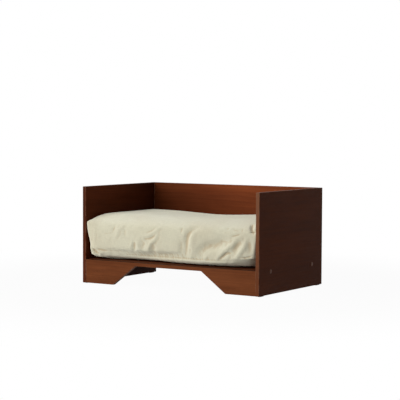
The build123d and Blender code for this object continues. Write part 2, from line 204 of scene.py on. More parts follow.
def wire(tree, shader, **sockets):
    for label, socket in sockets.items():
        tree.links.new(socket, shader.inputs[label.replace("_", " ")])


# Shared effects. A noise is given by its scale, or its scales along the axes, its detail and its roughness
grainPattern = {
    "wander": (1.1, 5.0, 5.0),  # scales of the noise by which the rings' axis strays
    "strays": 0.05,
    "lateWood": 2.2,  # the power that darkens a ring outwards
    "earlyWood": 0.12,  # the share of the next ring in which it turns light again
    "fibres": ((5.0, 380.0, 380.0), 4.0, 0.62),
    "clouds": ((2.2, 13.0, 13.0), 5.0, 0.6),
    "cloudRange": (0.3, 0.7),
    "pores": ((70.0, 1500.0, 1500.0), 1.0),
    "poreRange": (0.62, 0.74),
}
wearPattern = {
    "ragged": (160.0, 3.0),
    "fades": (0.5, 1.5),  # from where to where, in widths, once the ragged noise is added
    "patches": (28.0, 3.0, 0.6),
    "patchRange": (0.38, 0.62),
}
weavePattern = {
    "dip": 0.4,  # the share of its height that a thread loses between two that it goes over
    "slubs": (700.0, 45.0),  # how often threads change in thickness, across them and along
}


# Wood in the round: growth rings about an axis that wanders along the grain, which runs along X
def woodGrainGroup():
    inputs = {"Place": ("Vector", (0, 0, 0)), "Ring": ("Float", 1.0)}
    outputs = {"Rings": "Float", "Fibres": "Float", "Clouds": "Float", "Pores": "Float"}
    tree, source, send = newGroup("wood grain", inputs, outputs)
    pattern = grainPattern
    place = source["Place"]
    stretched = vectorCalc(tree, "MULTIPLY", place, pattern["wander"])
    wander = addNode(tree, "ShaderNodeTexNoise", {"Vector": stretched, "Scale": 1.0}).outputs["Color"]
    fromMiddle = vectorCalc(tree, "SUBTRACT", wander, (0.5, 0.5, 0.5))
    shift = vectorCalc(tree, "MULTIPLY", fromMiddle, (0, pattern["strays"], pattern["strays"]))
    strayed = vectorCalc(tree, "ADD", place, shift)
    across, up = split(tree, strayed)[1:3]
    radius = vectorCalc(tree, "LENGTH", join(tree, 0.0, across, up))
    turn = calc(tree, "FRACT", calc(tree, "DIVIDE", radius, source["Ring"]))
    late = calc(tree, "POWER", turn, pattern["lateWood"])
    early = smoothRange(tree, turn, 0.0, pattern["earlyWood"], 1.0, 0.0)
    send("Rings", calc(tree, "MAXIMUM", late, early))
    send("Fibres", streaks(tree, place, *pattern["fibres"]))
    send("Clouds", smoothRange(tree, streaks(tree, strayed, *pattern["clouds"]), *pattern["cloudRange"]))
    send("Pores", smoothRange(tree, streaks(tree, place, *pattern["pores"]), *pattern["poreRange"]))
    return tree


# How near a place is to an edge of the box from Low to High, broken up as real rubbing is: an edge is near
# where the second smallest distance to a face is small. Cut is the distance to any other face of the piece
def edgeWearGroup():
    inputs = {
        "Place": ("Vector", (0, 0, 0)),
        "Low": ("Vector", (0, 0, 0)),
        "High": ("Vector", (1, 1, 1)),
        "Width": ("Float", 1.0),
        "Cut": ("Float", 1.0),
    }
    tree, source, send = newGroup("edge wear", inputs, {"Wear": "Float"})
    pattern = wearPattern
    place = source["Place"]
    fromLow = vectorCalc(tree, "SUBTRACT", place, source["Low"])
    toHigh = vectorCalc(tree, "SUBTRACT", source["High"], place)
    x, y, z = split(tree, vectorCalc(tree, "MINIMUM", fromLow, toHigh))[:3]
    z = calc(tree, "MINIMUM", z, calc(tree, "ABSOLUTE", source["Cut"]))
    larger = calc(tree, "MINIMUM", calc(tree, "MAXIMUM", x, y), z)
    middle = calc(tree, "MAXIMUM", calc(tree, "MINIMUM", x, y), larger)
    ragged = calc(tree, "MULTIPLY_ADD", noise(tree, place, *pattern["ragged"]), source["Width"], middle)
    start, end = (calc(tree, "MULTIPLY", source["Width"], share) for share in pattern["fades"])
    edge = smoothRange(tree, ragged, start, end, 1.0, 0.0)
    patches = smoothRange(tree, noise(tree, place, *pattern["patches"]), *pattern["patchRange"])
    send("Wear", calc(tree, "MULTIPLY", edge, patches))
    return tree


# Cloth of crossing threads, from places on the cloth in metres. Each thread goes over and under
def weaveGroup():
    inputs = {"Place": ("Vector", (0, 0, 0)), "Pitch": ("Float", 1.0)}
    tree, source, send = newGroup("weave", inputs, {"Height": "Float", "Slub": "Float"})
    turns = vectorCalc(tree, "DIVIDE", source["Place"], join(tree, source["Pitch"], source["Pitch"], 1.0))
    u, v = split(tree, turns)[:2]
    acrossWarp = calc(tree, "SINE", calc(tree, "MULTIPLY", u, pi))
    acrossWeft = calc(tree, "SINE", calc(tree, "MULTIPLY", v, pi))
    warp, weft = calc(tree, "ABSOLUTE", acrossWarp), calc(tree, "ABSOLUTE", acrossWeft)
    over = calc(tree, "GREATER_THAN", calc(tree, "MULTIPLY", acrossWarp, acrossWeft), 0.0)
    dip = weavePattern["dip"]
    warpTop, weftTop = (
        calc(tree, "MULTIPLY", thread, calc(tree, "MULTIPLY_ADD", crossing, dip, 1 - dip))
        for thread, crossing in ((warp, weft), (weft, warp))
    )
    rise = calc(tree, "MULTIPLY", over, calc(tree, "SUBTRACT", warpTop, weftTop))
    send("Height", calc(tree, "ADD", weftTop, rise))
    across, along = weavePattern["slubs"]
    bothWays = (across, along, 1.0), (along, across, 1.0)
    slubs = [streaks(tree, source["Place"], stretch) for stretch in bothWays]
    send("Slub", calc(tree, "MULTIPLY", calc(tree, "ADD", *slubs), 0.5))
    return tree


woodGrain, edgeWear, weave = woodGrainGroup(), edgeWearGroup(), weaveGroup()

# Stained boards. Grain is the axis that the grain runs along, and heart is where the log's middle lay. The
# stain's tone changes along an axis, from 1 at the first place to the given tone at the second. Some of these
# changes are painted light and shade, and so are some differences between the boards' colours: the left and
# back panels are darker as painted shade, and the rail is lighter as painted light
boards = {
    "left_side_panel": {
        "grain": "Y",
        "heart": (-0.52, 0.14),
        "colour": (0.105, 0.0225, 0.0068),
        # painted shade: darker towards the rear, in the corner with the back panel
        "tonesAndShading": (("Y", -0.12, 0.24, 0.60),),
        "front": (0.040, 0.011, 0.005, 1),  # its front edge, painted darker as shade
    },
    "right_side_panel": {
        "grain": "Y",
        "heart": (0.55, 0.27),
        "colour": (0.112, 0.0255, 0.0062),
        "tonesAndShading": (("Y", -0.12, 0.24, 0.92),),
        # its front edge, painted lighter as a highlight
        "front": (0.175, 0.078, 0.042, 1),
    },
    "back_panel": {
        "grain": "X",
        "heart": (0.33, 0.26),
        "colour": (0.124, 0.0282, 0.0080),
        # painted shade: darker towards its left end, beside the left panel; painted light: lighter towards
        # its top
        "tonesAndShading": (("X", 0.02, -0.40, 0.46), ("Z", 0.325, 0.372, 1.42)),
    },
    "front_rail": {
        "grain": "X",
        "heart": (-0.31, 0.02),
        "colour": (0.126, 0.0370, 0.0126),
        "tonesAndShading": (("X", 0.10, 0.38, 1.06),),
        "top": (0.012, 0.004, 0.002, 1),  # its top edge, painted dark as the shadow that the cushion casts on it
    },
    "seat_board": {
        "grain": "X",
        "heart": (0.02, -0.02),
        "colour": (0.130, 0.0350, 0.0120),
        "tonesAndShading": (("X", -0.10, 0.38, 0.90),),
    },
}
# Ranges with four numbers are two values of a pattern and what they give
stain = {
    "shader": {"Specular IOR Level": 0.03, "IOR": 1.45},
    "ring": 0.009,
    "dark": (0.78, 0.04),
    "light": (1.18, -0.02),
    "ringTint": (0.45, 0.05),
    "ringShare": 0.2,
    "fibreShade": (0.3, 0.7, 0.88, 1.12),
    "poreTint": (0.3,),
    "poreShare": 0.45,
    # lighter edges: partly worn stain, partly a painted highlight on the rounded edges
    "wornHighlight": (0.24, 0.13, 0.085, 1),
    "wornHighlightShare": 0.75,
    "wearWidth": 0.0022,
    "frontEdgeLightShare": (0.04, 0.26, 0.25, 0.70),  # heights, and how far a front edge takes its painted light and shade there, more near the top, which catches more light
    "frontDepth": 0.0012,
    # how dark the rail's top edge is painted as shadow, and how deep that goes
    "topShadowShare": 0.85,
    "topShadowDepth": 0.0025,
    "wearDulls": 0.4,
    "roughness": (0.3, 0.9, 0.42, 0.6),
    "fibreRelief": 0.5,
    "relief": 0.00012,
}
# The arch under the rail's band: half its level top, and how far each sloping end runs out and down
arch = {"band": 0.015, "inner": 0.149, "run": 0.106, "rise": 0.078}


# The distance from the arch, which is a level top between two sloping ends
def archCut(tree, place):
    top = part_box("front_rail")[1].z - arch["band"]
    slope = sqrt(arch["rise"] ** 2 + arch["run"] ** 2)
    x, _, z = split(tree, place)[:3]
    beside = calc(tree, "SUBTRACT", calc(tree, "ABSOLUTE", x), arch["inner"])
    above = calc(tree, "SUBTRACT", z, top)
    sloped = calc(tree, "MULTIPLY", beside, arch["rise"] / slope)
    sloped = calc(tree, "MULTIPLY_ADD", above, arch["run"] / slope, sloped)
    return calc(tree, "MAXIMUM", above, sloped)


# Stained wood: clouds, rings, fibres and pores of the grain, a tone that changes along it, partly painted
# light and shade, edges partly worn and partly painted highlight, painted light and shade on the side panels'
# front edges, and a painted shadow on the rail's top edge
def stainedWood(name, board):
    material, tree, shader, place = newMaterial("stained_wood_" + name, stain["shader"])
    heartAcross, heartUp = board["heart"]
    axes = split(tree, place)
    x, y, z = axes[:3]
    along, across = (x, y) if board["grain"] == "X" else (y, x)
    fromHeart = [calc(tree, "SUBTRACT", across, heartAcross), calc(tree, "SUBTRACT", z, heartUp)]
    grain = useGroup(tree, woodGrain, {"Place": join(tree, along, *fromHeart), "Ring": stain["ring"]})
    low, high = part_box(name)
    edges = {"Place": place, "Low": low, "High": high, "Width": stain["wearWidth"]}
    if name == "front_rail":
        edges["Cut"] = archCut(tree, place)
    wear = useGroup(tree, edgeWear, edges)["Wear"]
    base = board["colour"]
    colour = mixColour(tree, grain["Clouds"], tint(base, *stain["dark"]), tint(base, *stain["light"]))
    colour = overlay(tree, colour, grain["Rings"], stain["ringShare"], tint(base, *stain["ringTint"]))
    shade = smoothRange(tree, grain["Fibres"], *stain["fibreShade"])
    for axis, start, end, tone in board["tonesAndShading"]:
        shade = calc(tree, "MULTIPLY", shade, smoothRange(tree, axes[axis], start, end, 1.0, tone))
    colour = shadeBy(tree, colour, shade)
    colour = overlay(tree, colour, grain["Pores"], stain["poreShare"], tint(base, *stain["poreTint"]))
    # painted highlight and shade on a side panel's front edge, stronger higher up
    if "front" in board:
        share = smoothRange(tree, z, *stain["frontEdgeLightShare"])
        edge = smoothRange(tree, y, low.y + stain["frontDepth"], low.y, 0.0, share)
        colour = mixColour(tree, edge, colour, board["front"])
    # lighter edges: partly worn stain, partly a painted highlight along the rounded edges
    colour = overlay(tree, colour, wear, stain["wornHighlightShare"], stain["wornHighlight"])
    # painted shadow: the rail's top edge dark under the cushion
    if "top" in board:
        topShadow = smoothRange(tree, z, high.z - stain["topShadowDepth"], high.z, 0.0, stain["topShadowShare"])
        colour = mixColour(tree, topShadow, colour, board["top"])
    dull = calc(tree, "MULTIPLY_ADD", wear, stain["wearDulls"], grain["Fibres"])
    roughness = smoothRange(tree, dull, *stain["roughness"])
    fibres = calc(tree, "MULTIPLY", grain["Fibres"], stain["fibreRelief"])
    height = calc(tree, "SUBTRACT", fibres, grain["Pores"])
    wire(tree, shader, Base_Color=colour, Roughness=roughness, Normal=bump(tree, height, stain["relief"]))
    return material


def finishNode(name, material):
    slots = nodes[name].data.materials
    slots.clear()
    slots.append(material)


def finishSlot(slot, material):
    for entry in frame["record"]["subparts"]:
        if entry["material_slot"] == slot:
            finishNode(entry["node"], material)


for name, board in boards.items():
    finishNode(name, stainedWood(name, board))
print("boards stained")

# Fittings: metal, beech and felt
fittings = {
    "bronzed_steel": {"shader": {"Metallic": 0.3, "Specular IOR Level": 0.1}, "roughness": (0.4, 0.55)},
    "zinc_steel": {"shader": {"Metallic": 1.0}, "roughness": (0.28, 0.5)},
    "nickel": {"shader": {"Metallic": 1.0}, "roughness": (0.2, 0.4)},
}
plating = {
    "clouds": (220.0, 4.0, 0.6),
    "scratches": (300.0, 300.0, 5200.0),
    "range": (0.35, 0.65),
    "tints": ((0.85,), (1.12,)),
    "dulls": 0.4,  # how far a scratch makes it duller
    "dullRange": (0.5, 0.9),
    "scratchRelief": 0.5,
    "relief": 0.00002,
}


# Plated metal: faint clouds in its colour and shine, and fine scratches
def platedMetal(slot, finish):
    material, tree, shader, place = newMaterial(slot, finish["shader"])
    clouds = noise(tree, place, *plating["clouds"])
    scratches = streaks(tree, place, plating["scratches"])
    colour = mottle(tree, clouds, plating["range"], slotColours[slot], *plating["tints"])
    dull = calc(tree, "MULTIPLY_ADD", scratches, plating["dulls"], clouds)
    roughness = smoothRange(tree, dull, *plating["dullRange"], *finish["roughness"])
    height = calc(tree, "MULTIPLY_ADD", scratches, plating["scratchRelief"], clouds)
    wire(tree, shader, Base_Color=colour, Roughness=roughness, Normal=bump(tree, height, plating["relief"]))
    return material


beech = {
    "shader": {"Roughness": 0.6},
    "fromHeart": (0, 0.05, 0.07),
    "ring": 0.003,
    "light": (1.05,),
    "dark": (0.8, 0.03),
    "ringShare": 0.5,
    "flecks": ((260.0, 900.0, 900.0), 1.0),
    "fleckShare": (0.6, 0.7, 0.0, 0.5),
    "fleckTint": (0.6, 0.05),
    "relief": 0.0001,
}
felt = {
    "shader": {"Roughness": 1.0, "Specular IOR Level": 0.1, "Sheen Weight": 0.3},
    "fuzz": (900.0, 4.0, 0.7),
    "range": (0.35, 0.65),
    "tints": ((0.7,), (1.5,)),
    "relief": 0.0004,
}


def beechWood():
    material, tree, shader, place = newMaterial("beech", beech["shader"])
    fromHeart = vectorCalc(tree, "ADD", place, beech["fromHeart"])
    grain = useGroup(tree, woodGrain, {"Place": fromHeart, "Ring": beech["ring"]})
    base = slotColours["beech"]
    light, dark = tint(base, *beech["light"]), tint(base, *beech["dark"])
    colour = overlay(tree, light, grain["Rings"], beech["ringShare"], dark)
    flecks = smoothRange(tree, streaks(tree, place, *beech["flecks"]), *beech["fleckShare"])
    colour = mixColour(tree, flecks, colour, tint(base, *beech["fleckTint"]))
    wire(tree, shader, Base_Color=colour, Normal=bump(tree, grain["Fibres"], beech["relief"]))
    return material


def feltCloth():
    material, tree, shader, place = newMaterial("felt", felt["shader"])
    fuzz = noise(tree, place, *felt["fuzz"])
    colour = mottle(tree, fuzz, felt["range"], slotColours["felt"], *felt["tints"])
    wire(tree, shader, Base_Color=colour, Normal=bump(tree, fuzz, felt["relief"]))
    return material


for slot, finish in fittings.items():
    finishSlot(slot, platedMetal(slot, finish))
finishSlot("beech", beechWood())
finishSlot("felt", feltCloth())
print("fittings finished")

# Cushion. Heights are above its base, and insets go in from its widest outline
cushion = {
    "cell": 0.007,
    "frontBow": 0.005,
    "sideBow": 0.0015,
    "frontEdge": 0.146,  # height of the edge where the front face meets the top
    "frontRoll": 0.125,  # how far back the top slopes up
    "sideRoll": 0.022,
    "rollStart": 0.07,  # how far back the side rolls are full
    "frontDraw": 0.052,
    "sideDraw": 0.036,
    "cornerDraw": 0.042,  # the same at the two front corners
    "cornerReach": 0.16,
    "cornerOut": 0.004,  # how far the front corners are pushed out against the side panels
    "facet": {"width": 0.036, "depth": 0.004},  # the front face's ends turn back a little
    "dip": {"place": (-0.02, 0.16), "reach": (0.16, 0.20), "depth": 0.010},
    "lift": (0.016, 0.015),  # the height and reach of the foot's lift, and of how far it goes out
    "out": (0.034, 0.020),
    # the front's foot goes in under itself, lower down near one place
    "tuck": {"heights": (0.0105, 0.005), "depth": 0.030, "lower": 0.0035, "place": 0.035, "reach": 0.11,
             "from": (-0.12, -0.18)},
    "clearance": 0.0005,  # to the side panels
    "edgeRounds": 36,
    "roundShare": 0.5,
    "endFade": (0.004, 0.05),  # from where to where, in from the ends, the rounding comes in
    "lowShare": 0.27,  # of that rounding, below
    "lowTop": (-0.2, 0.4),  # of the unit box, where that changes
}
# how much higher and further out its foot lies, along the front
foot = {
    "x": (-0.36, -0.30, -0.25, -0.19, -0.12, -0.04, 0.05, 0.12, 0.20, 0.25, 0.30, 0.35, 0.385),
    "lift": (-0.007, 0.002, 0.007, 0.009, 0.009, 0.002, -0.004, -0.007, -0.003, 0.001, 0.007, 0.018, 0.026),
    "out": (0.012, 0.006, 0.003, 0.001, 0.0, 0.0, 0.0, 0.0, 0.0, 0.0, 0.0, 0.0, 0.0),
    # how gently the front curves under
    "soft": (0.7, 1.0, 1.0, 1.0, 1.0, 1.0, 0.85, 0.55, 0.25, 0.1, 0.1, 0.3, 0.6),
}
# How the cover is blown up over its filling: a share of spare cloth makes it pucker
cloth = {
    "frames": 20,
    "pressure": 1.0,
    "spare": 0.011,
    "bending": 1.0,
    "hold": 0.32,  # how firmly the filling keeps it in form
    "topHold": 0.45,
    "topArea": ((0.97, 1), (-1, -0.6)),  # ranges of height and depth in the unit box
    "zipHold": 0.6,
    "zipArea": ((-0.3, -0.5), (0.97, 1)),
    "farthest": 0.007,
    "foldsBefore": 0.3,
    "foldsAfter": 0.9,
}
# shares of the height, and of how far the front, the sides and the front corners draw in below
drawShares = {
    "height": (0.0, 0.018, 0.045, 0.075, 0.11, 0.165, 0.26, 0.40, 0.55, 0.70, 0.82, 1.0),
    "front": (1.0, 0.84, 0.50, 0.21, 0.08, 0.03, 0.01, 0.0, 0.0, 0.0, 0.0, 0.0),
    "soft": (1.0, 0.85, 0.58, 0.44, 0.36, 0.27, 0.15, 0.055, 0.01, 0.0, 0.0, 0.0),
    "side": (1.0, 0.78, 0.60, 0.45, 0.37, 0.28, 0.16, 0.06, 0.0, 0.0, 0.0, 0.0),
    "corner": (1.0, 0.84, 0.68, 0.56, 0.47, 0.40, 0.34, 0.26, 0.15, 0.05, 0.0, 0.0),
}
# how round the plan's corners are at each share of the height
cornerShares = {"height": (0.0, 0.12, 0.36, 0.6, 0.82, 1.0)}
cornerRound = {
    "front": (0.040, 0.022, 0.012, 0.007, 0.003, 0.003),
    "rear": (0.040, 0.032, 0.026, 0.024, 0.024, 0.024),
}


def smoothstep(value, low, high):
    share = np.clip((value - low) / (high - low), 0, 1)
    return share * share * (3 - 2 * share)


# A bell: e to the power of less the square of a distance in widths
def bell(away):
    return np.exp(-(away**2))


# Points of one side of a box of cells, each coordinate from -1 to 1
def boxSide(axis, sign, counts):
    first, second = [other for other in range(3) if other != axis]
    steps = [np.linspace(-1, 1, counts[other] + 1) for other in (first, second)]
    points = np.empty((counts[first] + 1, counts[second] + 1, 3))
    points[..., first], points[..., second] = np.meshgrid(*steps, indexing="ij")
    points[..., axis] = sign
    return points


# The unit box of cells: its points, its faces turned outwards, and the axis that each face looks along
def unitBox(counts):
    stack, faces, facing, start = [], [], [], 0
    for axis in range(3):
        for sign in (-1, 1):
            points = boxSide(axis, sign, counts)
            rows, columns = points.shape[:2]
            index = np.arange(rows * columns).reshape(rows, columns) + start
            corners = [index[:-1, :-1], index[1:, :-1], index[1:, 1:], index[:-1, 1:]]
            quads = np.stack(corners, -1).reshape(-1, 4)
            outward = sign * (1 if axis != 1 else -1)
            faces.append(quads if outward > 0 else quads[:, ::-1])
            facing.append(np.full(len(quads), axis))
            stack.append(points.reshape(-1, 3))
            start += rows * columns
    points = np.concatenate(stack)
    _, keep, place = np.unique(np.round(points, 6), axis=0, return_index=True, return_inverse=True)
    return points[keep], place.reshape(-1)[np.concatenate(faces)], np.concatenate(facing)


# The cushion's form from the unit box. The plan is a rectangle with its corners made round by squaring the
# circle, the sides draw in towards the base, and the top is the highest level less what it drops to each edge
def cushionForm(unit, low, high):
    c = cushion
    halfX, halfY, middleY = (high.x - low.x) / 2, (high.y - low.y) / 2, (high.y + low.y) / 2
    height = high.z - low.z
    x, y = unit[:, 0] * halfX, unit[:, 1] * halfY
    level = (unit[:, 2] + 1) / 2
    corner = [np.interp(level, cornerShares["height"], cornerRound[end]) for end in ("front", "rear")]
    corner = np.where(y < 0, *corner)
    cornerX = np.clip((np.abs(x) - halfX + corner) / corner, 0, 1)
    cornerY = np.clip((np.abs(y) - halfY + corner) / corner, 0, 1)
    x -= np.sign(x) * corner * cornerX * (1 - np.sqrt(1 - cornerY**2 / 2))
    y -= np.sign(y) * corner * cornerY * (1 - np.sqrt(1 - cornerX**2 / 2))
    frontGap, rearGap, sideGap = y + halfY, halfY - y, halfX - np.abs(x)
    nearFront = smoothstep(frontGap, 0, c["rollStart"])
    topDrop = (height - c["frontEdge"]) * np.clip(1 - frontGap / c["frontRoll"], 0, 1) ** 2
    for gap in (sideGap, rearGap):
        share = np.clip(1 - gap / c["sideRoll"], 0, 1)
        topDrop = topDrop + c["sideRoll"] * (1 - np.sqrt(1 - share**2)) * nearFront
    dipX, dipY = c["dip"]["place"]
    reachX, reachY = c["dip"]["reach"]
    away = ((x - dipX) / reachX) ** 2 + ((y + middleY - dipY) / reachY) ** 2
    topDrop = topDrop + c["dip"]["depth"] * np.exp(-away)
    z = low.z + level * (height - topDrop)
    share = (z - low.z) / height
    frontDraw, softDraw, rearDraw, cornerDraw = (
        c[size] * np.interp(share, drawShares["height"], drawShares[column])
        for size, column in (
            ("frontDraw", "front"), ("frontDraw", "soft"), ("sideDraw", "side"), ("cornerDraw", "corner")
        )
    )
    frontDraw = frontDraw + (softDraw - frontDraw) * np.interp(x, foot["x"], foot["soft"])
    atCorner = smoothstep(frontGap, c["cornerReach"], 0)
    sideDraw = rearDraw + (cornerDraw - rearDraw) * atCorner
    bow = np.cos(np.clip(x / halfX, -1, 1) * pi / 2)
    facet = c["facet"]["depth"] * np.clip(1 - sideGap / c["facet"]["width"], 0, 1)
    ahead = c["frontBow"] * (1 - bow) * smoothstep(x, -halfX, -halfX / 2) + frontDraw + facet
    nearness = np.clip((halfY - y) / (2 * halfY), 0, 1)
    sideBow = c["sideBow"] * (1 - np.cos(np.clip(y / halfY, -1, 1) * pi / 2))
    lift, out = (
        np.interp(x, foot["x"], foot[way]) * atCorner * bell((z - low.z - c[way][0]) / c[way][1])
        for way in ("lift", "out")
    )
    z = z + lift
    x = x * (1 + (c["cornerOut"] * atCorner - sideDraw - sideBow) / halfX)
    y = y + middleY + ahead * nearness - rearDraw * (1 - nearness) - out
    return np.stack([x, y, z], -1)


# Folds of the cover's front: height, width and (x, z) places along each. The height is that of a round
# ridge, or below nought that of a crease, and the width is to where it fades
folds = (
    # at the left end
    (0.0018, 0.009, ((-0.204, 0.237), (-0.218, 0.224), (-0.229, 0.217),
      (-0.233, 0.204), (-0.242, 0.193), (-0.254, 0.182))),
    (-0.0014, 0.008, ((-0.245, 0.235), (-0.251, 0.222), (-0.257, 0.206))),
    (-0.0012, 0.012, ((-0.196, 0.222), (-0.198, 0.206), (-0.203, 0.191))),
    (-0.0009, 0.005, ((-0.300, 0.199), (-0.273, 0.202), (-0.254, 0.206))),
    (0.001, 0.009, ((-0.291, 0.192), (-0.279, 0.187), (-0.268, 0.181))),
    (0.0009, 0.006, ((-0.345, 0.231), (-0.344, 0.202), (-0.345, 0.174), (-0.345, 0.145))),
    (-0.012, 0.008, ((-0.354, 0.138), (-0.343, 0.126), (-0.330, 0.113))),
    (-0.003, 0.006, ((-0.336, 0.137), (-0.316, 0.135), (-0.292, 0.130))),
    (0.0026, 0.006, ((-0.326, 0.124), (-0.315, 0.122), (-0.304, 0.121))),
    (-0.003, 0.0045, ((-0.318, 0.112), (-0.312, 0.106), (-0.308, 0.098))),
    (-0.003, 0.0045, ((-0.280, 0.112), (-0.276, 0.106), (-0.275, 0.098))),
    (-0.005, 0.012, ((-0.318, 0.134), (-0.28, 0.132), (-0.23, 0.130), (-0.18, 0.128), (-0.13, 0.128))),
    # between the left end and the middle
    (-0.009, 0.014, ((-0.15, 0.125), (-0.07, 0.125), (0.00, 0.127), (0.07, 0.130))),
    (-0.0012, 0.007, ((-0.059, 0.230), (-0.074, 0.220), (-0.099, 0.212))),
    (0.0022, 0.008, ((-0.037, 0.236), (-0.051, 0.220), (-0.074, 0.208), (-0.099, 0.198), (-0.112, 0.196))),
    (-0.0026, 0.0065, ((-0.060, 0.202), (-0.069, 0.195), (-0.087, 0.189), (-0.108, 0.187))),
    (0.003, 0.008, ((-0.048, 0.204), (-0.053, 0.192), (-0.064, 0.183),
      (-0.080, 0.172), (-0.091, 0.155), (-0.098, 0.139))),
    (-0.0048, 0.014, ((-0.062, 0.167), (-0.072, 0.149), (-0.075, 0.128))),
    (-0.004, 0.014, ((-0.110, 0.182), (-0.118, 0.164), (-0.125, 0.146))),
    (0.0016, 0.007, ((-0.148, 0.178), (-0.144, 0.163), (-0.136, 0.149), (-0.130, 0.134))),
    (-0.003, 0.0105, ((-0.152, 0.176), (-0.156, 0.162), (-0.160, 0.146), (-0.170, 0.132))),
    (0.0014, 0.007, ((-0.164, 0.176), (-0.170, 0.164), (-0.176, 0.150))),
    # the long fold right of the middle
    (-0.0064, 0.012, ((0.136, 0.243), (0.123, 0.239), (0.109, 0.232), (0.098, 0.223), (0.090, 0.209),
      (0.085, 0.195), (0.083, 0.180), (0.081, 0.161), (0.079, 0.144), (0.076, 0.122))),
    (-0.0045, 0.016, ((0.064, 0.196), (0.061, 0.163), (0.062, 0.132))),
    (-0.0012, 0.007, ((0.061, 0.243), (0.062, 0.230), (0.059, 0.216))),
    (0.001, 0.009, ((0.077, 0.234), (0.076, 0.218), (0.072, 0.204))),
    (0.0026, 0.017, ((0.124, 0.222), (0.110, 0.203), (0.108, 0.180), (0.110, 0.160))),
    (-0.0016, 0.007, ((0.095, 0.172), (0.099, 0.155), (0.096, 0.141))),
    # the fan of folds at the lower right
    (-0.011, 0.019, ((0.129, 0.136), (0.142, 0.147), (0.157, 0.161), (0.177, 0.173),
      (0.199, 0.176), (0.221, 0.182), (0.238, 0.193), (0.269, 0.197))),
    (0.0016, 0.006, ((0.176, 0.141), (0.168, 0.132), (0.161, 0.124))),
    (-0.0012, 0.007, ((0.251, 0.243), (0.265, 0.242))),
    (-0.0018, 0.0055, ((0.277, 0.242), (0.295, 0.237), (0.313, 0.235))),
    (-0.0022, 0.0055, ((0.279, 0.215), (0.297, 0.219), (0.315, 0.224))),
    (-0.001, 0.006, ((0.232, 0.234), (0.252, 0.229), (0.266, 0.224))),
    (0.0012, 0.006, ((0.284, 0.227), (0.305, 0.228))),
    (-0.0016, 0.006, ((0.310, 0.250), (0.319, 0.242), (0.323, 0.228))),
    (0.0048, 0.011, ((0.326, 0.217), (0.311, 0.209), (0.296, 0.197), (0.285, 0.185),
      (0.265, 0.173), (0.250, 0.162), (0.234, 0.149), (0.216, 0.131))),
    (-0.0055, 0.013, ((0.319, 0.202), (0.306, 0.186), (0.294, 0.169), (0.284, 0.152))),
    (-0.0055, 0.008, ((0.278, 0.154), (0.258, 0.151), (0.242, 0.139), (0.227, 0.128))),
    (0.002, 0.006, ((0.271, 0.146), (0.264, 0.137), (0.260, 0.130))),
    (0.0044, 0.009, ((0.342, 0.206), (0.338, 0.188), (0.328, 0.171),
      (0.315, 0.155), (0.301, 0.139), (0.281, 0.128))),
    (-0.004, 0.011, ((0.354, 0.202), (0.356, 0.177), (0.349, 0.151))),
    (-0.004, 0.005, ((0.319, 0.140), (0.335, 0.137), (0.350, 0.142), (0.363, 0.148))),
    # the notch at the top's right end
    (-0.011, 0.0055, ((0.341, 0.258), (0.350, 0.251), (0.358, 0.243), (0.365, 0.235), (0.370, 0.226))),
    (-0.012, 0.007, ((0.358, 0.234), (0.368, 0.238), (0.378, 0.242), (0.390, 0.246))),
)
foldForm = {
    "samples": 48,
    "wide": 0.01,  # a crease that is wider is a soft hollow
    "sharp": 6,
    "end": 0.04,  # the share of the sine that is left off at each end
    "fade": 0.7,  # the sine's power
}
# Where the folds are put on: where the cover faces the front, is well forward or is near the notch. Each
# pair is from where to where that comes in
foldArea = {
    "facing": (0.35, 0.75),
    "front": (-0.221, -0.233),
    "notch": ((0.31, 0.33), (-0.15, -0.19), (0.232, 0.242)),
}


# A line through the places, evenly sampled and with its corners rounded
def smoothLine(places, count):
    places = np.array(places)
    steps = np.append(0, np.cumsum(np.linalg.norm(np.diff(places, axis=0), axis=1)))
    even = np.linspace(0, steps[-1], count)
    line = np.stack([np.interp(even, steps, column) for column in places.T], -1)
    for _ in range(count // 4):
        line[1:-1] = line[:-2] / 4 + line[1:-1] / 2 + line[2:] / 4
    return line


# The height of one fold at each (x, z) place, from how far it is from the line in widths: a bell for a ridge
# or a soft hollow, and for a crease e to the power of one less the root of one and six times the square. A
# sine makes all of them fade at the ends
def foldHeight(places, fold):
    height, width, route = fold
    line = smoothLine(route, foldForm["samples"])
    gaps = ((places[:, None] - line) ** 2).sum(-1)
    nearest = np.argmin(gaps, 1)
    away = gaps[np.arange(len(places)), nearest] / width**2
    isBell = height > 0 or width > foldForm["wide"]
    form = np.exp(-away) if isBell else np.exp(1 - np.sqrt(1 + foldForm["sharp"] * away))
    end = foldForm["end"]
    taper = np.sin(pi * (end + (1 - 2 * end) * nearest / (len(line) - 1))) ** foldForm["fade"]
    return height * form * taper


# Each point moves its share of the way to the middle of its neighbours, several times over
def relax(points, edges, share, rounds):
    count = np.bincount(edges.ravel(), minlength=len(points))[:, None]
    for _ in range(rounds):
        total = np.zeros_like(points)
        np.add.at(total, edges[:, 0], points[edges[:, 1]])
        np.add.at(total, edges[:, 1], points[edges[:, 0]])
        points = points + share[:, None] * (total / count - points)
    return points


# One attribute of all of a mesh's vertices, edges or loops, a row each
def readRows(items, attribute, width, kind=float):
    rows = np.empty(len(items) * width, kind)
    items.foreach_get(attribute, rows)
    return rows.reshape(-1, width)


def writePoints(mesh, points):
    mesh.vertices.foreach_set("co", points.ravel())
    mesh.update()


def writeAttribute(mesh, name, values):
    mesh.attributes.new(name, "FLOAT", "POINT").data.foreach_set("value", values)


